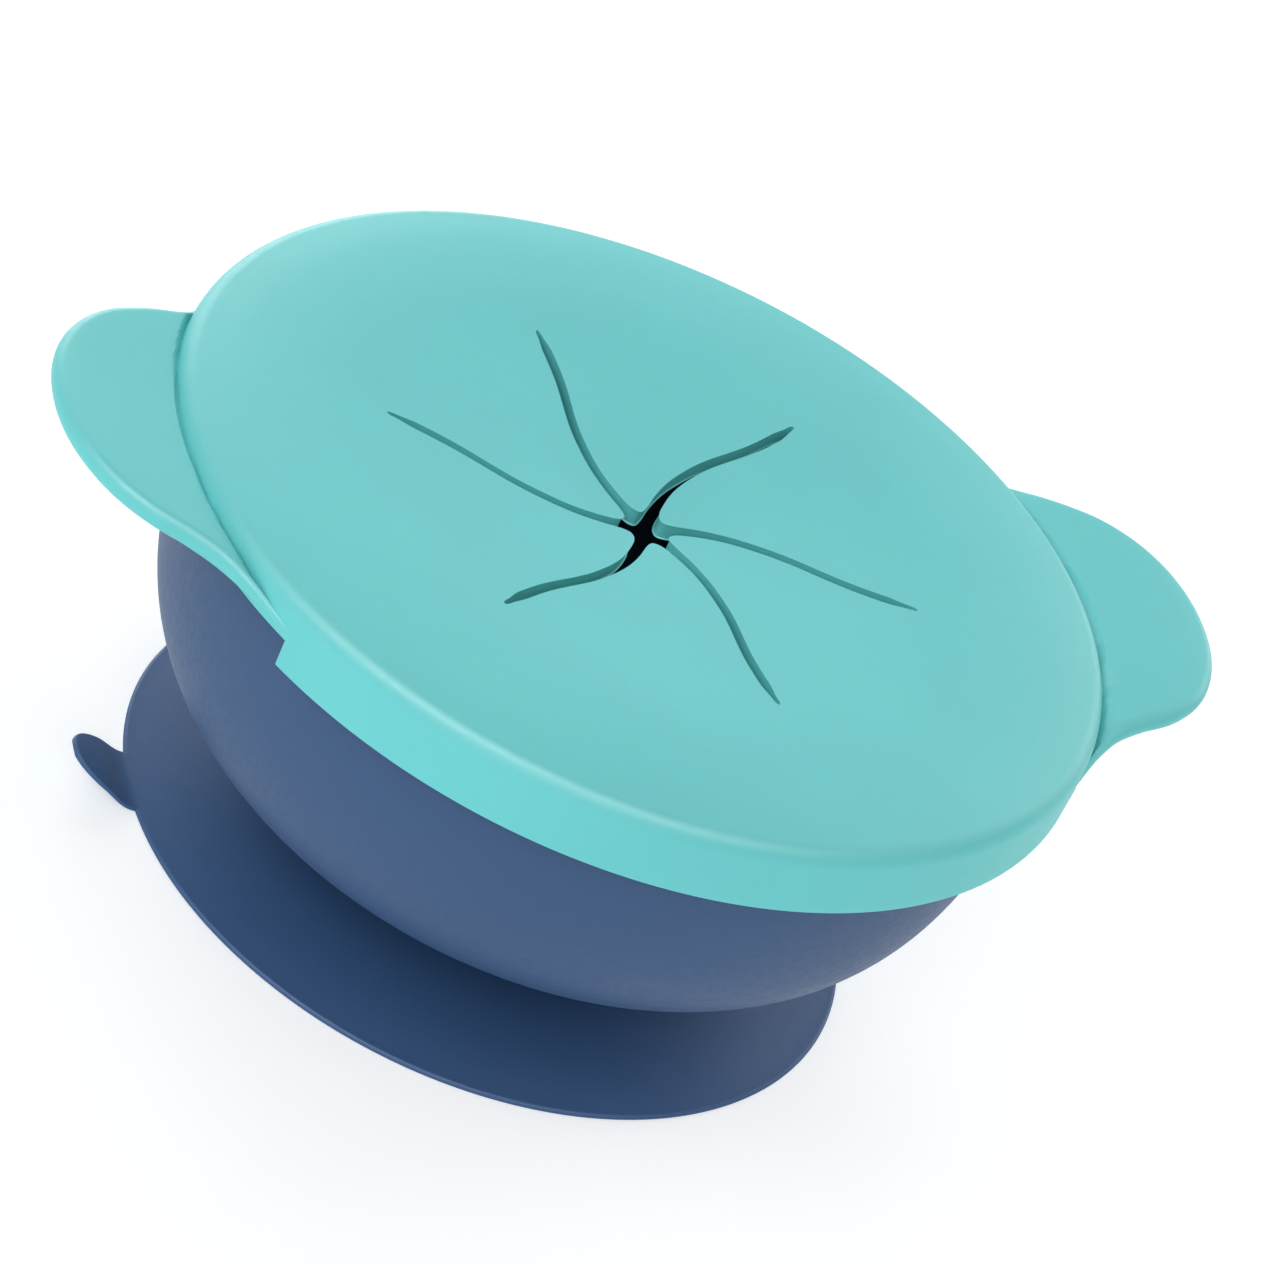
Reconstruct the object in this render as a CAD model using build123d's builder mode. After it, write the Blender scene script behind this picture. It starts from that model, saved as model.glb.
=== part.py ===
from build123d import *
import os
from math import atan, cos, degrees, pi, radians, sin

# Suction bowl for weaning: a silicone bowl on a suction cup, under a slotted silicone lid.
# Millimetres, +Z up, origin on the table at the middle of the suction cup.
# The lid's two ears point along +X and -X, and the cup's release tab along -X.

# ---- suction cup
CUP_R = 51.8
CUP_EDGE = 1.2          # thickness of the cup's lip at its rim
SEAL_R = 46.5           # inner edge of the flat ring that seals on the table
CUP_TOP = 5.2           # where the cup carries the bowl's foot
CUP_TOP_R = 21.0
CUP_CROWN = 3.4         # height of the air space under the middle
CUP_HALFWAY = 2.7       # and half way out to the sealing ring
CUP_LIP = 0.5           # depth of the rounding of the cup's lip
FOOT_R = 20.0

# ---- release tab, a tongue that slopes up from the cup's rim
TAB_WIDTH = 11.4
TAB_LENGTH = 9.0
TAB_THICK = 1.6
TAB_SLOPE = 25.0
TAB_AXIS_X = 52.9
TAB_AXIS_Z = 1.0
TAB_BED = 1.5           # how far the knuckle's bed runs back into the cup
TAB_TIP_ROUND = 4.2     # leaves a short straight bit at the end of the tongue

# ---- bowl
BOWL_R = 60.15          # widest outside radius, just under the rim
BOWL_HIGH = 57.5        # height of the ellipse-like profile's widest point
BOWL_LOW = 6.0          # outside of the bowl's bottom
BOWL_WALL = 2.6
BELLY_R_POWER = 2.63    # how square the belly is, across and down
BELLY_Z_POWER = 3.6
BELLY_STEPS = 8
SEAT_Z = 56.6           # top of the rim, where the lid sits
BEAD_R = 61.6
BEAD_HEIGHT = 3.4
BEAD_ROUND = 1.0

# ---- lid
LID_R = 65.0
SKIRT_LOW = 49.75
SKIRT_LOW_R = 65.15
SKIRT_IN_R = 62.0
LID_THICK = 2.2
FUNNEL_LOW = 56.84      # top of the lid at its middle
FUNNEL_SLOPE = 0.079
FUNNEL_R = 38.0
CROWN_R = 49.0
CROWN_TOP = 60.25
SHOULDER_R = 62.3
SHOULDER_TOP = 59.35
SHOULDER_SLOPE = -0.3
ROUND_LOW = 56.9        # where the rim's rounding runs into the wall
PLUG_OUT_R = 57.1
PLUG_IN_R = 54.6
PLUG_LOW = 53.4

# ---- ears
EAR_THICK = 3.0
EAR_MID_Z = 56.5        # middle of the ear where it leaves the lid's wall
EAR_RISE = 0.19
EAR_CURVE = -0.0048
EAR_OUTLINE = ((82.6, 0.0), (80.3, 11.6), (72.5, 21.1), (64.2, 24.2), (55.2, 34.4))
EAR_END_RUN = (-0.6, 1)     # the way the outline runs where it joins the rim
EAR_ROOT_X = 50.0
EAR_ROOT_R = 62.5       # the root reaches in to this radius, inside the skirt
EAR_BLANK_X = 84.6      # end of the curved band that the ear is cut from
EAR_HINGE_X = 67.6
EAR_HINGE_HALF = 20.5
EAR_TURNS = {"right_ear": 0, "left_ear": 180}
RELIEF_ANGLE = 31.8     # the skirt is cut away this far either side of an ear
RELIEF_TOP = 53.6
RELIEF_IN_R = 58.1

# ---- petals: six flaps between curved slits
PETALS = 6
SLIT_TIP_R = 37.4
SLIT_TIP_ANGLE = 44.6
SLIT_GAP = 1.0
SLIT_SWEEP = ((37.4, 0.0), (28.0, 1.5), (17.0, 9.6), (8.0, 18.3), (4.8, 20.8))
PETAL_TIP_R = 3.4       # the petals' round tips leave a hole in the middle
PETAL_AXIS_Z = 58.4
PETAL_GROOVE_R = 1.6
CORNER_RELIEF_R = 2.2
GROOVE_HALF = 19.2      # half the length of a petal's groove, a little past both corners

# ---- living hinges are stood in for by a round knuckle in a round groove
HINGE_GAP = 0.2
PETAL_SWING = (-60.0, 70.0)     # up, down
EAR_SWING = (-20.0, 60.0)       # down, up
TAB_SWING = (-20.0, 60.0)       # down, up

PITCH = 360.0 / PETALS
APOTHEM = SLIT_TIP_R * cos(radians(PITCH / 2))
REACH = 200.0           # longer than anything that it has to cut


def hinge_plane(x, z, turn):
    """Plane on a hinge line: its X runs away from the hinge, its Z along the pin."""
    out = Vector(cos(radians(turn)), sin(radians(turn)), 0)
    pin = Vector(sin(radians(turn)), -cos(radians(turn)), 0)
    return Plane(origin=out * x + Vector(0, 0, z), x_dir=out, z_dir=pin)


def petal_plane(index):
    """The hinge plane of a petal, on the chord between the outer ends of its two slits."""
    return hinge_plane(APOTHEM, PETAL_AXIS_Z, SLIT_TIP_ANGLE + (index + 0.5) * PITCH)


def hinge_room(plane, radius, half_length, angles):
    """The space that a flap's root sweeps: its knuckle, and the flap at both ends of its swing."""
    with BuildPart() as room:
        with BuildSketch(plane):
            Circle(radius)
            for angle in angles:
                Rectangle(6 * radius, 2 * radius, rotation=angle, align=(Align.MIN, Align.CENTER))
        extrude(amount=half_length, both=True)
    return room.part


def belly(radius, low):
    """Points of the bowl's section from its widest point down to the axis."""
    points = []
    for step in range(BELLY_STEPS + 1):
        angle = step * pi / 2 / BELLY_STEPS
        across = radius * cos(angle) ** (2 / BELLY_R_POWER) if step < BELLY_STEPS else 0.0
        points.append((across, BOWL_HIGH - (BOWL_HIGH - low) * sin(angle) ** (2 / BELLY_Z_POWER)))
    return points


def ear_height(x):
    """Height of an ear's middle surface at a distance x from the bowl's axis."""
    along = x - LID_R
    return EAR_MID_Z + EAR_RISE * along + EAR_CURVE * along ** 2


def ear_slope(x):
    """Slope of that surface, in degrees."""
    return degrees(atan(EAR_RISE + 2 * EAR_CURVE * (x - LID_R)))


def slit_point(radius, sweep, index, side):
    """A point on one edge of a slit; side is +1 or -1, or 0 for its middle."""
    angle = radians(SLIT_TIP_ANGLE + index * PITCH + sweep) + side * SLIT_GAP / 2 / radius
    return (radius * cos(angle), radius * sin(angle))


os.makedirs("parts", exist_ok=True)
tab_plane = hinge_plane(TAB_AXIS_X, TAB_AXIS_Z, 180)

# ---- suction cup: a thin shallow cone, hollow underneath, with a flat sealing ring
with BuildPart() as suction_cup:
    with BuildSketch(Plane.XZ):
        with BuildLine():
            Polyline((0, CUP_CROWN), (0, CUP_TOP), (CUP_TOP_R, CUP_TOP), (CUP_R - CUP_LIP, CUP_EDGE))
            Spline((CUP_R - CUP_LIP, CUP_EDGE), (CUP_R, CUP_EDGE / 2), (CUP_R - CUP_LIP, 0))
            Line((CUP_R - CUP_LIP, 0), (SEAL_R, 0))
            Spline((SEAL_R, 0), (SEAL_R / 2, CUP_HALFWAY), (0, CUP_CROWN))
        make_face()
    revolve(axis=Axis.Z)
    with BuildSketch(Plane.XY.offset(TAB_AXIS_Z - TAB_THICK / 2)):
        with Locations((-TAB_AXIS_X, 0)):
            Rectangle(TAB_AXIS_X - CUP_R + TAB_BED, TAB_WIDTH, align=(Align.MIN, Align.CENTER))
    extrude(amount=TAB_THICK)
    tab_room = hinge_room(tab_plane, TAB_THICK / 2 + HINGE_GAP, TAB_WIDTH,
                          [TAB_SLOPE + swing for swing in TAB_SWING])
    add(tab_room, mode=Mode.SUBTRACT)
suction_cup.part.label = "suction_cup"
export_step(suction_cup.part, "parts/suction_cup.step")

# ---- release tab
with BuildPart() as release_tab:
    with BuildSketch(tab_plane):
        Circle(TAB_THICK / 2)
    extrude(amount=TAB_WIDTH / 2, both=True)
    with BuildSketch(tab_plane):
        Rectangle(TAB_LENGTH, TAB_THICK, rotation=TAB_SLOPE, align=(Align.MIN, Align.CENTER))
    extrude(amount=TAB_WIDTH / 2, both=True)
    tip_corners = release_tab.edges().filter_by(Axis.Y, reverse=True).sort_by(Axis.X)[:2]
    fillet(tip_corners, TAB_TIP_ROUND)
release_tab.part.label = "release_tab"
export_step(release_tab.part, "parts/release_tab.step")

# ---- bowl: shell, rim bead and foot
outer_belly = belly(BOWL_R, BOWL_LOW)
inner_belly = belly(BOWL_R - BOWL_WALL, BOWL_LOW + BOWL_WALL)
with BuildPart() as bowl:
    with BuildSketch(Plane.XZ):
        with BuildLine():
            Spline(*outer_belly, tangents=((0, -1), (-1, 0)))
            Line(outer_belly[-1], inner_belly[-1])
            Spline(*inner_belly, tangents=((0, -1), (-1, 0)))
            Line(inner_belly[0], outer_belly[0])
        make_face()
        with Locations((0, SEAT_Z)):
            Rectangle(REACH, BOWL_HIGH, align=(Align.CENTER, Align.MIN), mode=Mode.SUBTRACT)
        with Locations((BOWL_R - BOWL_WALL, SEAT_Z)):
            RectangleRounded(BEAD_R - BOWL_R + BOWL_WALL, BEAD_HEIGHT, BEAD_ROUND,
                             align=(Align.MIN, Align.MAX))
    revolve(axis=Axis.Z)
    with BuildSketch(Plane.XY.offset(CUP_TOP)):
        Circle(FOOT_R)
    extrude(amount=BOWL_LOW + BOWL_WALL / 2 - CUP_TOP)
bowl.part.label = "bowl"
export_step(bowl.part, "parts/bowl.step")

# ---- the turned cap that the lid and its petals are cut from
with BuildPart() as lid_cap:
    with BuildSketch(Plane.XZ):
        with BuildLine():
            funnel_edge = (FUNNEL_R, FUNNEL_LOW + FUNNEL_SLOPE * FUNNEL_R)
            funnel_under = (FUNNEL_R, funnel_edge[1] - LID_THICK)
            Line((0, FUNNEL_LOW), funnel_edge)
            Spline(funnel_edge, (CROWN_R, CROWN_TOP), (SHOULDER_R, SHOULDER_TOP),
                   tangents=((1, FUNNEL_SLOPE), (1, SHOULDER_SLOPE)))
            Spline((SHOULDER_R, SHOULDER_TOP), (LID_R, ROUND_LOW), tangents=((1, SHOULDER_SLOPE), (0, -1)))
            crown_under = (CROWN_R, CROWN_TOP - LID_THICK)
            Polyline((LID_R, ROUND_LOW), (SKIRT_LOW_R, SKIRT_LOW), (SKIRT_IN_R, SKIRT_LOW),
                     (SKIRT_IN_R, SEAT_Z), (PLUG_OUT_R, SEAT_Z), (PLUG_OUT_R, PLUG_LOW),
                     (PLUG_IN_R, PLUG_LOW), (PLUG_IN_R, crown_under[1]), crown_under)
            Spline(crown_under, funnel_under, tangents=((-1, 0), (-1, -FUNNEL_SLOPE)))
            Polyline(funnel_under, (0, FUNNEL_LOW - LID_THICK), (0, FUNNEL_LOW))
        make_face()
    revolve(axis=Axis.Z)

# ---- one whole ear, on the +X side: a curved band cut to the ear's outline
with BuildPart() as whole_ear:
    with BuildSketch(Plane.XZ):
        with BuildLine():
            band = [(x, ear_height(x)) for x in (EAR_ROOT_X, LID_R, EAR_BLANK_X)]
            above = [(x, z + EAR_THICK / 2) for x, z in band]
            below = [(x, z - EAR_THICK / 2) for x, z in band]
            Spline(*above)
            Line(above[-1], below[-1])
            Spline(*below)
            Line(below[0], above[0])
        make_face()
    extrude(amount=REACH / 2, both=True)
    with BuildSketch(Plane.XY):
        with BuildLine():
            side = list(EAR_OUTLINE)
            other_side = [(x, -y) for x, y in side]
            Spline(*side, tangents=((0, 1), EAR_END_RUN))
            Spline(*other_side, tangents=((0, -1), (EAR_END_RUN[0], -EAR_END_RUN[1])))
            Polyline(side[-1], (EAR_ROOT_X, side[-1][1]), (EAR_ROOT_X, other_side[-1][1]), other_side[-1])
        make_face()
    extrude(amount=REACH, mode=Mode.INTERSECT)

# ---- the ear's outer blade, with the knuckle that it bends on
ear_plane = hinge_plane(EAR_HINGE_X, ear_height(EAR_HINGE_X), 0)
with BuildPart() as ear_blade:
    add(whole_ear.part)
    split(bisect_by=Plane.YZ.offset(EAR_HINGE_X), keep=Keep.TOP)
    with BuildSketch(ear_plane):
        Circle(EAR_THICK / 2)
    extrude(amount=EAR_HINGE_HALF, both=True)

# ---- the ear's root, which stays with the lid
with BuildPart() as ear_root:
    add(whole_ear.part)
    split(bisect_by=Plane.YZ.offset(EAR_HINGE_X), keep=Keep.BOTTOM)
    with BuildSketch(Plane.XY):
        Circle(EAR_ROOT_R)
    extrude(amount=REACH, mode=Mode.SUBTRACT)
    ear_room = hinge_room(ear_plane, EAR_THICK / 2 + HINGE_GAP, REACH / 2,
                          [ear_slope(EAR_HINGE_X) + swing for swing in EAR_SWING])
    add(ear_room, mode=Mode.SUBTRACT)

# ---- lid: the turned cap with the ears' roots, less the skirt under the ears and the petals' opening
with BuildPart() as lid:
    add(lid_cap.part)
    for turn in EAR_TURNS.values():
        with BuildSketch(Plane.XY.rotated((0, 0, turn))):
            with BuildLine():
                corner = (REACH * cos(radians(RELIEF_ANGLE)), REACH * sin(radians(RELIEF_ANGLE)))
                Polyline((0, 0), corner, (corner[0], -corner[1]), (0, 0))
            make_face()
            Circle(RELIEF_IN_R, mode=Mode.SUBTRACT)
        extrude(amount=RELIEF_TOP, mode=Mode.SUBTRACT)
    for turn in EAR_TURNS.values():
        add(ear_root.part.rotate(Axis.Z, turn))
    with BuildSketch(Plane.XY):
        RegularPolygon(SLIT_TIP_R, PETALS, rotation=SLIT_TIP_ANGLE)
    extrude(amount=REACH, mode=Mode.SUBTRACT)
    for index in range(PETALS):
        petal_room = hinge_room(petal_plane(index), PETAL_GROOVE_R, GROOVE_HALF,
                                [180 + swing for swing in PETAL_SWING])
        add(petal_room, mode=Mode.SUBTRACT)
lid.part.label = "lid"
export_step(lid.part, "parts/lid.step")

# ---- the two ears
for name, turn in EAR_TURNS.items():
    ear = ear_blade.part.rotate(Axis.Z, turn)
    ear.label = name
    export_step(ear, f"parts/{name}.step")

# ---- the six petals
for index in range(PETALS):
    with BuildPart() as petal:
        with BuildSketch(Plane.XY):
            with BuildLine():
                near = [slit_point(radius, sweep, index, 1) for radius, sweep in SLIT_SWEEP]
                far = [slit_point(radius, sweep, index + 1, -1) for radius, sweep in SLIT_SWEEP]
                tip = slit_point(PETAL_TIP_R, SLIT_SWEEP[-1][1] + PITCH / 2, index, 0)
                Spline(*near)
                ThreePointArc(near[-1], tip, far[-1])
                Spline(*far)
                Line(far[0], near[0])
            make_face()
            RegularPolygon(SLIT_TIP_R - 2 * HINGE_GAP, PETALS, rotation=SLIT_TIP_ANGLE, mode=Mode.INTERSECT)
            with Locations([slit_point(SLIT_TIP_R, 0, corner, 0) for corner in (index, index + 1)]):
                Circle(CORNER_RELIEF_R, mode=Mode.SUBTRACT)
        extrude(amount=REACH)
        add(lid_cap.part, mode=Mode.INTERSECT)
        with BuildSketch(petal_plane(index)):
            Circle(LID_THICK / 2)
        extrude(amount=SLIT_TIP_R / 2 - CORNER_RELIEF_R, both=True)
    petal.part.label = f"petal_{index + 1}"
    export_step(petal.part, f"parts/petal_{index + 1}.step")
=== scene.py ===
from math import atan, cos, degrees, hypot, pi, radians, sin, tan

import bmesh
import bpy
from mathutils import Matrix, Vector
from mathutils.geometry import interpolate_bezier


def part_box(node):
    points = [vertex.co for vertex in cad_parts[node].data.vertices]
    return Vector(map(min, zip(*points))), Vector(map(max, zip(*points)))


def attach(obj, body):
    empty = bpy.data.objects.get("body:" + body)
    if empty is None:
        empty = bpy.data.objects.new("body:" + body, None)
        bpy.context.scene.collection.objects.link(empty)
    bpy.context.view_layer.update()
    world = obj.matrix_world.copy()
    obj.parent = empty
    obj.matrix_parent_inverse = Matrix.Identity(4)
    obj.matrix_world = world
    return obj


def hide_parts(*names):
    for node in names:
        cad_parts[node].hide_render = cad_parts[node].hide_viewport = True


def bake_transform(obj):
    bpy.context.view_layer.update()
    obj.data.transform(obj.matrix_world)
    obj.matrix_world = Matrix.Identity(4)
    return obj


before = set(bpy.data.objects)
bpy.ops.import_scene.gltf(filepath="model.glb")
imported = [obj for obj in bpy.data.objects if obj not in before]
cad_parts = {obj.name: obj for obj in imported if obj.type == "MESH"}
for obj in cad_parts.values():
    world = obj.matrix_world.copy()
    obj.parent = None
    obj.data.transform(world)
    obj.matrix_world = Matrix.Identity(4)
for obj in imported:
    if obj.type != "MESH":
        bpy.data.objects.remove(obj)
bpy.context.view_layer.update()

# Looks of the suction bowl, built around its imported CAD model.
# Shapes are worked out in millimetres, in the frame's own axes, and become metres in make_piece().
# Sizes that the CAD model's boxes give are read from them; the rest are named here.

MM = 0.001
WELD = 0.003            # points nearer than this are one point
DEGENERATE = 0.002      # and edges shorter than this are taken out


def corners_mm(name):
    """Lowest and highest corner of a CAD node, in millimetres."""
    return [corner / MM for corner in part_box(name)]


CUP_BOX = corners_mm("suction_cup")
BOWL_BOX = corners_mm("bowl")
LID_BOX = corners_mm("lid")
EAR_BOX = corners_mm("right_ear")

# ---- suction cup and its release tab
CUP_R = CUP_BOX[1].y
CUP_TOP = CUP_BOX[1].z
CUP_TOP_R = 21.0
CUP_LIP = 0.8           # thickness of the cup's edge
CUP_SAG = 0.35          # how far the cup's slope hangs below a straight line
SEAL_R = 46.5           # inner edge of the ring that seals on the table
CUP_CROWN = 3.4         # height of the air space under the middle
TAB_WIDTH = 11.4
TAB_TAPER = 2.4         # how much narrower it gets towards its tip
TAB_LENGTH = 10.2       # along its slope, beyond the cup's edge
TAB_THICK = 0.8
TAB_MID_Z = 0.45
TAB_SLOPE = 25.0
TAB_ROOT_R = 51.2       # where the tab starts, inside the cup's edge
TAB_BEND_R = 51.6       # where it starts to rise
TAB_TIP_POWER = 2.2     # how square the tip's round end is

# ---- bowl
BEAD_R = BOWL_BOX[1].x
SEAT_Z = BOWL_BOX[1].z
FOOT_Z = BOWL_BOX[0].z
FOOT_R = 20.0
BELLY_R = 60.15
BELLY_WIDE_Z = 57.5     # height where the belly is widest, just above the rim
BELLY_LOW = 6.0
BELLY_R_POWER = 2.63
BELLY_Z_POWER = 3.6
BOWL_WALL = 2.6
BEAD_HEIGHT = 3.4

# ---- lid
SKIRT_LOW = LID_BOX[0].z
SKIRT_LOW_R = LID_BOX[1].y
LID_R = 65.0
CROWN_TOP = LID_BOX[1].z
CROWN_R = 49.0
FUNNEL_LOW = 56.84      # top of the lid at its middle
FUNNEL_SLOPE = 0.079
FUNNEL_R = 38.0
HUB_R = FUNNEL_R + 3    # the lid's section is run in from here to the hexagon around the petals
SHOULDER = ((54.0, 60.2), (59.0, 59.88))    # distance from the axis and height, from crown to rim
RIM_ROUND = 2.5
RIM_ROUND_FROM = 80.0   # degrees above level where the rim's rounding starts
RIM_ROUND_Z = 56.93
SKIRT_IN_R = 62.0
LID_THICK = 2.4
PLUG_OUT_R = 57.1
PLUG_IN_R = 54.6
PLUG_LOW = 53.4

# ---- petals
PETALS = 6
SLIT_TIP_R = 37.4
SLIT_TIP_ANGLE = 44.6
SLIT_SWEEP = ((37.4, 0.0), (35.4, 0.1), (28.0, 1.5), (17.0, 9.6), (8.0, 18.3), (5.6, 20.2))
SLIT_GAP = 2.0
SLIT_END = 4.0          # the gap closes over this length at the slit's outer end
SLIT_WIDER = 0.2        # and is this much wider near the middle,
SLIT_WIDE_R = (4, 11)   # gained between these distances from it
PETAL_APEX_R = 3.45
PETAL_EDGE = 0.25       # rounding of a petal's edges
PETAL_EDGE_RAMP = 2.0   # the rounding grows in this far from a slit's outer end
PITCH = 360.0 / PETALS
APOTHEM = SLIT_TIP_R * cos(radians(PITCH / 2))

# ---- ears
EAR_TIP_X = EAR_BOX[1].x
EAR_MID_Z = 56.9        # height of the ear's middle surface at the lid's wall
EAR_RISE = 0.19
EAR_CURVE = -0.0048
EAR_THICK = 3.0
EAR_END_THICK = 1.2
EAR_ROOT_R = 63.5       # the ears grow out of the lid's wall from here
EAR_NEAR = ((82.0, 6.0), (80.2, 11.6), (76.8, 17.1), (72.2, 20.9), (67.4, 23.0),
            (63.8, 25.0), (60.4, 28.1), (55.6, 33.9), (54.5, 35.3))     # outline on the -Y side
EAR_FAR = ((82.1, 5.9), (80.4, 11.5), (77.0, 17.1), (72.7, 21.2), (68.2, 23.8),
           (64.7, 25.5), (61.6, 26.9), (59.3, 28.4), (57.5, 30.4))      # and on the +Y side
EAR_CREASE = 0.9        # depth of the crease along the lid's wall
EAR_CREASE_WIDTH = 0.9
EAR_TAPER = (24.0, 34.4)    # the ear thins between these distances from its middle line
RELIEF_ANGLE = 31.8     # the skirt is cut away this far either side of an ear
RELIEF_TOP = 53.6
RELIEF_EDGE = 0.15

# ---- pigments
NAVY = (0.037, 0.088, 0.198, 1)
PAINTED_LIGHTER_CUP_NAVY = (0.044, 0.106, 0.24, 1)    # a lighter copy of the bowl's navy: painted light that brightens the cup and tab in the shade under the bowl
TURQUOISE = (0.133, 0.589, 0.593, 1)
CLOUD_TINT = 0.05       # how much the clouds lighten and darken the pigment

# ---- mesh density
COLUMNS_PER_PETAL = 48
TURN_COLUMNS = 288
CRISP_ANGLE = 35        # degrees; edges that turn more than this aren't shaded smooth


# ======================================================================= curves

def smooth(points, steps):
    """A smooth curve through a few points, with this many steps from each to the next."""
    knots = [Vector((*point, 0)) for point in points]
    spans = [b - a for a, b in zip(knots, knots[1:])]
    slopes = [spans[0].normalized()]
    for a, b in zip(spans, spans[1:]):
        slopes.append((a.normalized() * b.length + b.normalized() * a.length) / (a.length + b.length))
    slopes.append(spans[-1].normalized())
    curve = [knots[0]]
    for here, there, span, slope, next_slope in zip(knots, knots[1:], spans, slopes, slopes[1:]):
        reach = span.length / 3
        handles = (here + slope * reach, there - next_slope * reach)
        curve += interpolate_bezier(here, *handles, there, steps + 1)[1:]
    return [(point.x, point.y) for point in curve]


def rounded(corners, steps=6):
    """A closed outline from corners (across, height, radius), where a radius rounds its corner."""
    outline = []
    for index, (across, height, radius) in enumerate(corners):
        corner = Vector((across, height))
        if not radius:
            outline.append((across, height))
            continue
        back = (Vector(corners[index - 1][:2]) - corner).normalized()
        ahead = (Vector(corners[(index + 1) % len(corners)][:2]) - corner).normalized()
        half = back.angle(ahead) / 2
        turn = pi - 2 * half
        centre = corner + (back + ahead).normalized() * radius / sin(half)
        start = corner + back * radius / tan(half) - centre
        end = corner + ahead * radius / tan(half) - centre
        for step in range(steps + 1):
            part = step / steps
            point = centre + (start * sin((1 - part) * turn) + end * sin(part * turn)) / sin(turn)
            outline.append((point.x, point.y))
    return outline


def plain(points):
    """Corners without rounding, for rounded()."""
    return [(across, height, 0) for across, height in points]


def ease(value):
    """0 to 1 with a smooth start and end."""
    value = min(max(value, 0.0), 1.0)
    return value * value * (3 - 2 * value)


def polar(radius, angle):
    """A point in plan from its distance and its angle in degrees."""
    return Vector((radius * cos(radians(angle)), radius * sin(radians(angle)), 0))


def inward_at(outline, index):
    """The direction in plan, square to an anticlockwise outline at one of its points, that leads inside."""
    before, after = outline[max(index - 1, 0)], outline[min(index + 1, len(outline) - 1)]
    along = (after - before).normalized()
    return Vector((-along.y, along.x, 0))


def facing(angle, elevation):
    """A unit vector towards a direction in plan and a height above level, both in degrees."""
    return polar(cos(radians(elevation)), angle) + Vector((0, 0, sin(radians(elevation))))


# ======================================================================= meshes

def make_piece(name, points, faces, material):
    """A closed smooth-shaded mesh object from points in millimetres, its faces turned outward."""
    mesh = bpy.data.meshes.new(name)
    mesh.from_pydata([Vector(point) * MM for point in points], [], faces)
    work = bmesh.new()
    work.from_mesh(mesh)
    bmesh.ops.remove_doubles(work, verts=work.verts, dist=WELD * MM)
    bmesh.ops.dissolve_degenerate(work, edges=work.edges, dist=DEGENERATE * MM)
    bmesh.ops.delete(work, geom=[edge for edge in work.edges if not edge.link_faces], context="EDGES")
    bmesh.ops.recalc_face_normals(work, faces=work.faces)
    if work.calc_volume(signed=True) < 0:
        bmesh.ops.reverse_faces(work, faces=work.faces)
    work.to_mesh(mesh)
    work.free()
    mesh.shade_smooth()
    mesh.set_sharp_from_angle(angle=radians(CRISP_ANGLE))
    mesh.materials.append(material)
    return place_object(name, mesh)


def place_object(name, data):
    """An object in the scene for a mesh, light or camera."""
    made = bpy.data.objects.new(name, data)
    bpy.context.scene.collection.objects.link(made)
    return made


def loft(name, loops, material, ring=False):
    """Joins closed loops of points side by side: into a ring, or capped at both ends."""
    size = len(loops[0])
    points = [point for loop in loops for point in loop]
    faces = []
    for row in range(len(loops) if ring else len(loops) - 1):
        this, following = row * size, (row + 1) % len(loops) * size
        for step in range(size):
            after = (step + 1) % size
            faces.append((this + step, this + after, following + after, following + step))
    if not ring:
        faces.append(tuple(range(size)))
        faces.append(tuple(range((len(loops) - 1) * size, len(loops) * size)))
    return make_piece(name, points, faces, material)


def turned(name, profile, material):
    """A closed profile (radius, height) turned about the Z axis."""
    loops = []
    for column in range(TURN_COLUMNS):
        angle = 360.0 * column / TURN_COLUMNS
        loops.append([polar(radius, angle) + Vector((0, 0, height)) for radius, height in profile])
    return loft(name, loops, material, ring=True)


# ======================================================================= materials

def node(tree, kind, inputs=None, **settings):
    """Adds a shader node with its settings, and values or links for its inputs."""
    made = tree.nodes.new(kind)
    for name, value in settings.items():
        setattr(made, name, value)
    for name, value in (inputs or {}).items():
        if isinstance(value, bpy.types.NodeSocket):
            tree.links.new(value, made.inputs[name])
        else:
            made.inputs[name].default_value = value
    return made


def silicone(name, colour, roughness, gloss):
    """Matt moulded silicone: faint clouds in the pigment, a fine moulded grain and a soft sheen."""
    material = bpy.data.materials.new(name)
    material.use_nodes = True
    tree = material.node_tree
    shader = tree.nodes["Principled BSDF"]
    place = node(tree, "ShaderNodeTexCoord").outputs["Object"]
    clouds = node(tree, "ShaderNodeTexNoise", {"Vector": place, "Scale": 38.0, "Detail": 3.0})
    specks = node(tree, "ShaderNodeTexNoise", {"Vector": place, "Scale": 900.0, "Detail": 2.0})
    grain = node(tree, "ShaderNodeTexNoise", {"Vector": place, "Scale": 2600.0, "Detail": 3.0})
    paler = [min(1.0, part * (1 + CLOUD_TINT)) for part in colour[:3]] + [1.0]
    deeper = [part * (1 - CLOUD_TINT) for part in colour[:3]] + [1.0]
    pigment = node(tree, "ShaderNodeMix", {"Factor": clouds.outputs["Fac"]}, data_type="RGBA")
    pigment.inputs["A"].default_value = deeper
    pigment.inputs["B"].default_value = paler
    tree.links.new(pigment.outputs["Result"], shader.inputs["Base Color"])
    polish = node(tree, "ShaderNodeMapRange",
                  {"Value": specks.outputs["Fac"], "From Min": 0.3, "From Max": 0.7,
                   "To Min": roughness - 0.05, "To Max": roughness + 0.05})
    tree.links.new(polish.outputs["Result"], shader.inputs["Roughness"])
    bump = node(tree, "ShaderNodeBump",
                {"Height": grain.outputs["Fac"], "Strength": 0.12, "Distance": 0.00004})
    tree.links.new(bump.outputs["Normal"], shader.inputs["Normal"])
    shader.inputs["IOR"].default_value = 1.42
    shader.inputs["Specular IOR Level"].default_value = gloss
    return material


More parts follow.
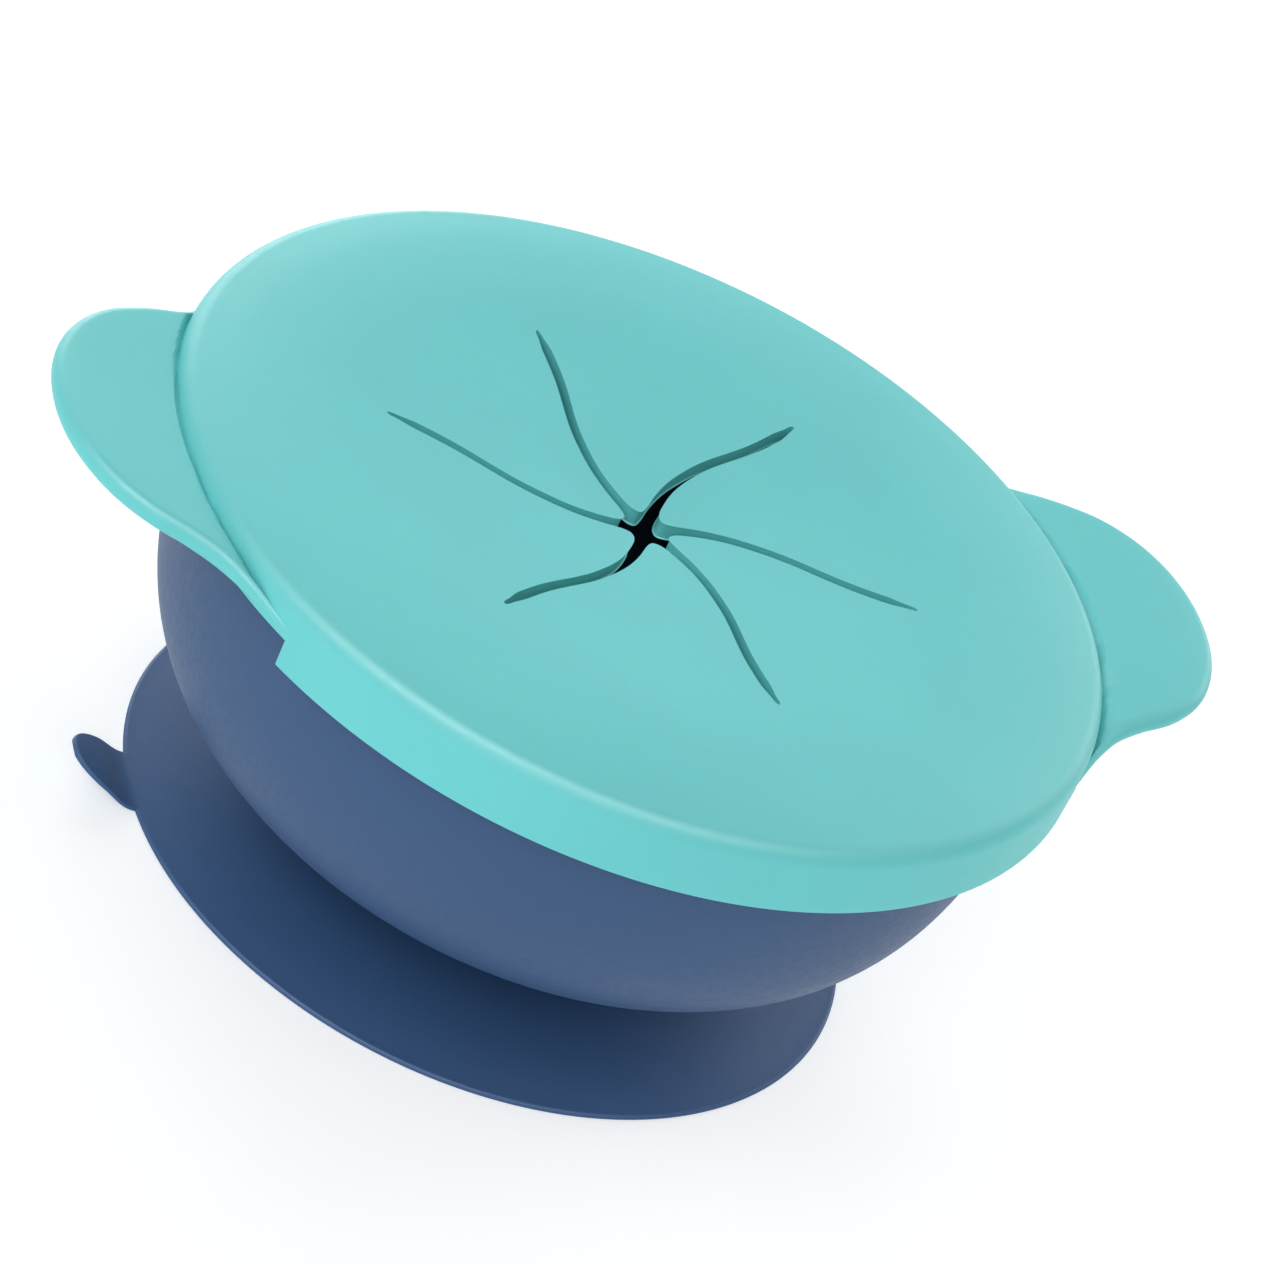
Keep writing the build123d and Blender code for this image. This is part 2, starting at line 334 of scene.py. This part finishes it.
navy = silicone("navy_silicone_look", NAVY, 0.5, 0.36)
# the cup and tab get the lighter copy of the navy, painted light standing in for more light under the bowl
painted_lighter_navy = silicone("navy_silicone_painted_lighter_look", PAINTED_LIGHTER_CUP_NAVY, 0.52, 0.26)
turquoise = silicone("turquoise_silicone_look", TURQUOISE, 0.5, 0.42)


# ======================================================================= suction cup

def cup_profile():
    """Thin shallow cone with a round lip, a flat sealing ring and a domed underside."""
    slope_middle = ((CUP_TOP_R + CUP_R) / 2, (CUP_TOP + CUP_LIP) / 2 - CUP_SAG)
    top = smooth(((CUP_TOP_R, CUP_TOP), slope_middle, (CUP_R - 0.7, CUP_LIP)), 10)
    dome = smooth(((SEAL_R, 0.0), (SEAL_R * 0.62, CUP_CROWN * 0.7), (0.0, CUP_CROWN)), 14)
    lip = [(CUP_R, CUP_LIP, 0.5), (CUP_R, 0.0, 0.4)]
    return rounded([(0.0, CUP_TOP, 0)] + plain(top) + lip + plain(dome))


def tab_loops():
    """Cross-sections of the release tab, from inside the cup's edge to its round tip."""
    slope = radians(TAB_SLOPE)
    line = smooth(((-TAB_ROOT_R, TAB_MID_Z), (-TAB_BEND_R, TAB_MID_Z),
                   (-TAB_BEND_R - TAB_LENGTH * 0.5 * cos(slope), TAB_MID_Z + TAB_LENGTH * 0.5 * sin(slope)),
                   (-TAB_BEND_R - TAB_LENGTH * cos(slope), TAB_MID_Z + TAB_LENGTH * sin(slope))), 14)
    length = hypot(line[-1][0] - line[0][0], line[-1][1] - line[0][1])
    loops = []
    for index, (x, z) in enumerate(line):
        before, after = line[max(index - 1, 0)], line[min(index + 1, len(line) - 1)]
        ahead = Vector((after[0] - before[0], after[1] - before[1])).normalized()
        to_tip = length - hypot(x - line[0][0], z - line[0][1])
        end_round = min(1.0, max(0.0, 1 - to_tip / (TAB_WIDTH / 2)))
        half_width = (TAB_WIDTH - TAB_TAPER * ease(1 - to_tip / TAB_LENGTH)) / 2
        half_width = max(0.02, half_width * (1 - end_round ** TAB_TIP_POWER) ** (1 / TAB_TIP_POWER))
        half_thick = TAB_THICK / 2 * min(1.0, 0.35 + half_width / TAB_THICK * 0.6)
        edge = min(half_thick * 0.95, half_width * 0.9)
        section = rounded([(-half_width, -half_thick, edge), (half_width, -half_thick, edge),
                           (half_width, half_thick, edge), (-half_width, half_thick, edge)])
        loops.append([Vector((x - ahead.y * up, side, z + ahead.x * up)) for side, up in section])
    return loops


cup = turned("suction_cup_moulding", cup_profile(), painted_lighter_navy)
tab = loft("release_tab_moulding", tab_loops(), painted_lighter_navy)


# ======================================================================= bowl

def belly(radius, low, start_z, steps=44):
    """The belly's section from a height near the rim down to the axis."""
    start = ((BELLY_WIDE_Z - start_z) / (BELLY_WIDE_Z - low))
    points = []
    for step in range(steps + 1):
        share = step / steps
        down = start + (1 - start) * sin(share * pi / 2)
        across = radius * max(0.0, 1 - down ** BELLY_Z_POWER) ** (1 / BELLY_R_POWER)
        points.append((across, BELLY_WIDE_Z - (BELLY_WIDE_Z - low) * down))
    return points


def bowl_profile():
    """Bowl with a beaded rim, a round belly and a short foot, from the rim's inside round to the inside."""
    bead_low = SEAT_Z - BEAD_HEIGHT
    inner_r = BELLY_R - BOWL_WALL
    outside = [point for point in belly(BELLY_R, BELLY_LOW, bead_low - 0.6) if point[0] > FOOT_R + 0.8]
    inside = belly(inner_r, BELLY_LOW + BOWL_WALL, bead_low)
    rim = [(inner_r, SEAT_Z, 0.9), (BEAD_R, SEAT_Z, 1.1), (BEAD_R, bead_low, 0.9), (BELLY_R, bead_low, 0.4)]
    foot = [(FOOT_R, outside[-1][1], 0.4), (FOOT_R, FOOT_Z, 0.3), (0.0, FOOT_Z, 0)]
    return rounded(rim + plain(outside) + foot + plain(reversed(inside)))


bowl = turned("bowl_moulding", bowl_profile(), navy)


# ======================================================================= lid

def dish(radius):
    """Height of the lid's top, from its middle out to its crown."""
    flat = FUNNEL_LOW + FUNNEL_SLOPE * radius
    if radius <= FUNNEL_R:
        return flat
    width = CROWN_R - FUNNEL_R
    part = (radius - FUNNEL_R) / width
    edge = FUNNEL_LOW + FUNNEL_SLOPE * FUNNEL_R
    lead_in = FUNNEL_SLOPE * width * part * (1 - part) ** 2
    return edge + (CROWN_TOP - edge) * part ** 2 * (3 - 2 * part) + lead_in


def hexagon(angle):
    """Distance from the middle to the hexagon through the slits' outer ends."""
    return APOTHEM / cos(radians((angle - SLIT_TIP_ANGLE) % PITCH - PITCH / 2))


def column_angles():
    """Angles of the lid's columns: even along each side of the hexagon, with pairs where the skirt ends."""
    angles = []
    for corner in range(PETALS):
        middle = SLIT_TIP_ANGLE + (corner + 0.5) * PITCH
        for column in range(COLUMNS_PER_PETAL):
            along = (2.0 * column / COLUMNS_PER_PETAL - 1) * tan(radians(PITCH / 2))
            angles.append((middle + degrees(atan(along))) % 360)
    for ear in (0, 180):
        for side in (-1, 1):
            for step in (0, RELIEF_EDGE):
                angles.append((ear + side * (RELIEF_ANGLE + step)) % 360)
    return sorted(angles)


def lid_profile():
    """The lid's section outside the petals, from the hexagon's top out over the rim and back inside."""
    climb = []
    for step in range(9):
        radius = HUB_R + (CROWN_R - HUB_R) * step / 8
        climb.append((radius, dish(radius)))
    arc_centre = LID_R - RIM_ROUND
    arc = []
    for step in range(15):
        angle = radians(RIM_ROUND_FROM * (1 - step / 14))
        arc.append((arc_centre + RIM_ROUND * cos(angle), RIM_ROUND_Z + RIM_ROUND * sin(angle)))
    shoulder = smooth((climb[-1], *SHOULDER, arc[0]), 8)
    wall = [(LID_R + (SKIRT_LOW_R - LID_R) * part, arc[-1][1] + (SKIRT_LOW - arc[-1][1]) * part)
            for part in (0.25, 0.5, 0.75)]
    crown_under = CROWN_TOP - LID_THICK
    inside = [(SKIRT_LOW_R, SKIRT_LOW, 0.35), (SKIRT_IN_R, SKIRT_LOW, 0.5), (SKIRT_IN_R, SEAT_Z, 0.4),
              (PLUG_OUT_R, SEAT_Z, 0.4), (PLUG_OUT_R, PLUG_LOW, 0.6), (PLUG_IN_R, PLUG_LOW, 0.6),
              (PLUG_IN_R, crown_under - 0.1, 1.2)]
    under = [(radius, height - LID_THICK) for radius, height in reversed(climb)]
    return rounded(plain(climb + shoulder[1:] + arc[1:] + wall) + inside + plain(under))


def lid_loops():
    """The lid's section at each column, run in to the hexagon and cut short over the skirt's gaps."""
    profile = lid_profile()
    skirt_from = SKIRT_IN_R - 0.01
    loops = []
    for angle in column_angles():
        from_ear = min(abs((angle - ear + 180) % 360 - 180) for ear in (0, 180))
        cut = from_ear < RELIEF_ANGLE + RELIEF_EDGE / 2
        loop = []
        for step in range(4):
            radius = hexagon(angle) + (HUB_R - hexagon(angle)) * step / 4
            loop.append(polar(radius, angle) + Vector((0, 0, dish(radius))))
        for radius, height in profile:
            if cut and radius > skirt_from:
                height = max(height, RELIEF_TOP)
            loop.append(polar(radius, angle) + Vector((0, 0, height)))
        for step in reversed(range(4)):
            radius = hexagon(angle) + (HUB_R - hexagon(angle)) * step / 4
            loop.append(polar(radius, angle) + Vector((0, 0, dish(radius) - LID_THICK)))
        loops.append(loop)
    return loops


lid = loft("lid_moulding", lid_loops(), turquoise, ring=True)


# ======================================================================= petals

def slit_gap(radius):
    """Width of a slit: closed at its round outer end, and wider near the middle."""
    closing = min(1.0, max(0.0, SLIT_TIP_R - radius) / SLIT_END)
    widening = ease((SLIT_WIDE_R[1] - radius) / (SLIT_WIDE_R[1] - SLIT_WIDE_R[0]))
    return SLIT_GAP * closing ** 0.5 + SLIT_WIDER * widening


def petal_edges():
    """A petal's two edges from the hexagon to the apex, in its own plan (along its middle, across)."""
    sweeps = smooth(SLIT_SWEEP, 12)
    left, right = [], []
    for radius, sweep in sweeps:
        half = PITCH / 2 - degrees(slit_gap(radius) / 2 / radius)
        left.append(polar(radius, sweep - half))
        right.append(polar(radius, sweep + half))
    middle = polar(1, sweeps[-1][1])
    apex = middle * PETAL_APEX_R
    for edge in (left, right):
        start = edge[-1]
        heading = (start - edge[-2]).normalized()
        to_front = (PETAL_APEX_R - start.dot(middle)) / heading.dot(middle)
        control = start + heading * to_front
        handles = (start + (control - start) * 2 / 3, apex + (control - apex) * 2 / 3)
        edge += interpolate_bezier(start, *handles, apex, 13)[1:]
    return left, right


def flat(point, turn):
    """A placed point back in its petal's own plan."""
    return Vector((point.dot(polar(1, turn)), point.dot(polar(1, turn + 90)), 0))


def petal_piece(index):
    """One flap: its top follows the dish, its free edges are rounded and its root lies on the hexagon."""
    turn = SLIT_TIP_ANGLE + (index + 0.5) * PITCH
    left, right = petal_edges()
    outline = left + right[-2::-1]
    rows = len(left)
    section = []            # from top to underside: (inset, depth, share of the thickness)
    for step in range(5):
        angle = step * pi / 8
        section.append((1 - sin(angle), 1 - cos(angle), 0))
    section += [(0, 0, 0.5)] + [(inset, -depth, 1) for inset, depth, _ in reversed(section)]
    shares = []
    for angle in column_angles():
        offset = (angle - turn + 180) % 360 - 180
        if abs(offset) < PITCH / 2 + 0.001:
            shares.append(0.5 + tan(radians(offset)) / tan(radians(PITCH / 2)) / 2)
    shares = sorted({0.0, 1.0, *[share for share in shares if 0.001 < share < 0.999]})

    points = []

    def add(point, depth):
        """Stores a point of the plan at a depth under the dish, turned to the petal's place."""
        height = dish(point.length) - depth
        place = polar(1, turn) * point.x + polar(1, turn + 90) * point.y
        points.append(place + Vector((0, 0, height)))
        return len(points) - 1

    rings = []
    for k, point in enumerate(outline):
        inward = inward_at(outline, k)
        edge = PETAL_EDGE * ease((SLIT_TIP_R - point.length) / PETAL_EDGE_RAMP)
        ring = []
        for inset, depth, share in section:
            ring.append(add(point + inward * inset * edge, depth * edge + share * LID_THICK))
        rings.append(ring)
    faces = []
    for k in range(len(rings) - 1):
        for j in range(len(section) - 1):
            faces.append((rings[k][j], rings[k + 1][j], rings[k + 1][j + 1], rings[k][j + 1]))
    caps = []
    for j, under in ((0, 0), (len(section) - 1, LID_THICK)):
        cap = []
        for k in range(rows):
            ends = [flat(points[rings[k][j]], turn), flat(points[rings[-1 - k][j]], turn)]
            row = [rings[k][j]]
            for share in shares[1:-1]:
                row.append(add(ends[0].lerp(ends[1], share), under))
            row.append(rings[-1 - k][j])
            cap.append(row)
        for k in range(rows - 1):
            for m in range(len(shares) - 1):
                faces.append((cap[k][m], cap[k][m + 1], cap[k + 1][m + 1], cap[k + 1][m]))
        caps.append(cap)
    root = caps[0][0][:-1] + rings[-1][:-1] + list(reversed(caps[1][0][1:])) + list(reversed(rings[0][1:]))
    faces.append(tuple(root))
    return make_piece(f"petal_{index + 1}_flap", points, faces, turquoise)


petals = [petal_piece(index) for index in range(PETALS)]


# ======================================================================= ears

def ear_height(x):
    """Height of an ear's middle surface at a distance x from the bowl's axis."""
    return EAR_MID_Z + EAR_RISE * (x - LID_R) + EAR_CURVE * (x - LID_R) ** 2


def ear_loops():
    """Sections of the +X ear, each from inside the lid's wall over the round edge and back."""
    upper = [(EAR_TIP_X, 0.0), *EAR_FAR]
    lower = [(x, -y) for x, y in reversed(EAR_NEAR)]
    outline = [Vector((x, y, 0)) for x, y in smooth((*lower, *upper), 12)]
    travel = [0.0]
    for a, b in zip(outline, outline[1:]):
        travel.append(travel[-1] + (b - a).length)
    near_angle, far_angle = [degrees(atan(end.y / end.x)) for end in (outline[0], outline[-1])]
    loops = []
    for k, point in enumerate(outline):
        inward = inward_at(outline, k)
        thin = ease((abs(point.y) - EAR_TAPER[0]) / (EAR_TAPER[1] - EAR_TAPER[0]))
        half = (EAR_THICK + (EAR_END_THICK - EAR_THICK) * thin) / 2
        root = polar(EAR_ROOT_R, near_angle + (far_angle - near_angle) * travel[k] / travel[-1])
        rim = point + inward * half
        loop = []
        for step in range(17):
            spot = root.lerp(rim, (step / 16) ** 2)
            dip = min(EAR_CREASE, half) * (1 - ease((spot.length - LID_R) / EAR_CREASE_WIDTH))
            loop.append(spot + Vector((0, 0, ear_height(spot.x) + half - dip)))
        for step in range(1, 12):
            angle = pi / 2 - step * pi / 12
            spot = point + inward * half * (1 - cos(angle))
            loop.append(spot + Vector((0, 0, ear_height(spot.x) + half * sin(angle))))
        for step in reversed(range(13)):
            spot = root.lerp(rim, step / 12)
            loop.append(spot + Vector((0, 0, ear_height(spot.x) - half)))
        loops.append(loop)
    return loops


right_ear = loft("right_ear_flap", ear_loops(), turquoise)
mirrored = [[Vector((-point.x, point.y, point.z)) for point in loop] for loop in ear_loops()]
left_ear = loft("left_ear_flap", mirrored, turquoise)


# ======================================================================= bodies

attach(bowl, "bowl")
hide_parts("bowl")

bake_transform(cup)
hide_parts("suction_cup")

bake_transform(tab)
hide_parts("release_tab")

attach(lid, "lid")
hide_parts("lid")

for ear, name, side in ((left_ear, "left_ear", -1), (right_ear, "right_ear", 1)):
    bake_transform(ear)
    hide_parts(name)

for index, petal in enumerate(petals):
    outward = polar(1, SLIT_TIP_ANGLE + (index + 0.5) * PITCH)
    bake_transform(petal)
    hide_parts(f"petal_{index + 1}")


# ======================================================================= floor, light and camera

FLOOR_GLOW = 0.5            # a little light of its own keeps the paper white in the bowl's shadow


def floor_look():
    """Plain pale paper."""
    material = bpy.data.materials.new("floor_look")
    material.use_nodes = True
    tree = material.node_tree
    shader = tree.nodes["Principled BSDF"]
    place = node(tree, "ShaderNodeTexCoord").outputs["Object"]
    fibre = node(tree, "ShaderNodeTexNoise", {"Vector": place, "Scale": 700.0, "Detail": 4.0})
    paper = node(tree, "ShaderNodeMix", {"Factor": fibre.outputs["Fac"]}, data_type="RGBA")
    paper.inputs["A"].default_value = (0.64, 0.64, 0.64, 1)
    paper.inputs["B"].default_value = (0.68, 0.68, 0.68, 1)
    tree.links.new(paper.outputs["Result"], shader.inputs["Base Color"])
    shader.inputs["Roughness"].default_value = 0.9
    shader.inputs["Specular IOR Level"].default_value = 0.1
    shader.inputs["Emission Color"].default_value = (1, 1, 1, 1)
    shader.inputs["Emission Strength"].default_value = FLOOR_GLOW
    return material


FLOOR_HALF = 4000.0
floor_mesh = bpy.data.meshes.new("floor")
floor_corners = [Vector((x, y, 0)) * FLOOR_HALF * MM for x, y in ((-1, -1), (1, -1), (1, 1), (-1, 1))]
floor_mesh.from_pydata(floor_corners, [], [(0, 1, 2, 3)])
floor_mesh.materials.append(floor_look())
floor = place_object("floor", floor_mesh)

world = bpy.data.worlds.new("studio")
world.use_nodes = True
world.node_tree.nodes["Background"].inputs["Color"].default_value = (1.0, 1.0, 1.0, 1)
world.node_tree.nodes["Background"].inputs["Strength"].default_value = 0.42
bpy.context.scene.world = world


def softbox(name, angle, elevation, distance, size, power, highlight_only=False):
    """A square area light that faces the bowl from a direction, in degrees and metres."""
    data = bpy.data.lights.new(name, "AREA")
    data.size = size
    data.energy = power
    light = place_object(name, data)
    light.visible_diffuse = not highlight_only
    toward = facing(angle, elevation)
    light.location = toward * distance
    light.rotation_euler = toward.to_track_quat("Z", "Y").to_euler()


softbox("rim_left", angle=-160, elevation=62, distance=1.4, size=0.8, power=38, highlight_only=True)
softbox("rim_front", angle=-72, elevation=60, distance=1.4, size=0.8, power=24, highlight_only=True)
softbox("front", angle=-118, elevation=33, distance=1.4, size=0.8, power=5.9)
softbox("left", angle=180, elevation=35, distance=1.4, size=0.8, power=4.4)
softbox("right", angle=32, elevation=22, distance=1.4, size=0.8, power=8.4)
softbox("back", angle=90, elevation=15, distance=1.4, size=0.8, power=10.2)

CAMERA_ANGLE = -27.8        # turned from the -Y side towards -X
CAMERA_ELEVATION = 32.744
CAMERA_ROLL = 27.057
CAMERA_DISTANCE = 798.69    # from the plane through the lid's middle
CAMERA_OFFSET = (1.6047, -13.2057)  # where the lid's middle stands in the picture, right and down
CAMERA_AIM_Z = 56.5
CAMERA_LENS = 174.68
CAMERA_SENSOR = 36.0

toward_camera = facing(CAMERA_ANGLE - 90, CAMERA_ELEVATION)
level = polar(1, CAMERA_ANGLE)
upright = toward_camera.cross(level)
roll = radians(CAMERA_ROLL)
right = level * cos(roll) + upright * sin(roll)
up = upright * cos(roll) - level * sin(roll)
eye = (Vector((0, 0, CAMERA_AIM_Z)) - right * CAMERA_OFFSET[0] + up * CAMERA_OFFSET[1]
       + toward_camera * CAMERA_DISTANCE)
camera_data = bpy.data.cameras.new("camera")
camera_data.lens = CAMERA_LENS
camera_data.sensor_width = CAMERA_SENSOR
camera_data.clip_end = 20
camera = place_object("camera", camera_data)
axes = Matrix((right, up, toward_camera)).transposed()
camera.matrix_world = Matrix.LocRotScale(eye * MM, axes, None)
bpy.context.scene.camera = camera

bpy.context.scene.view_settings.view_transform = "Standard"
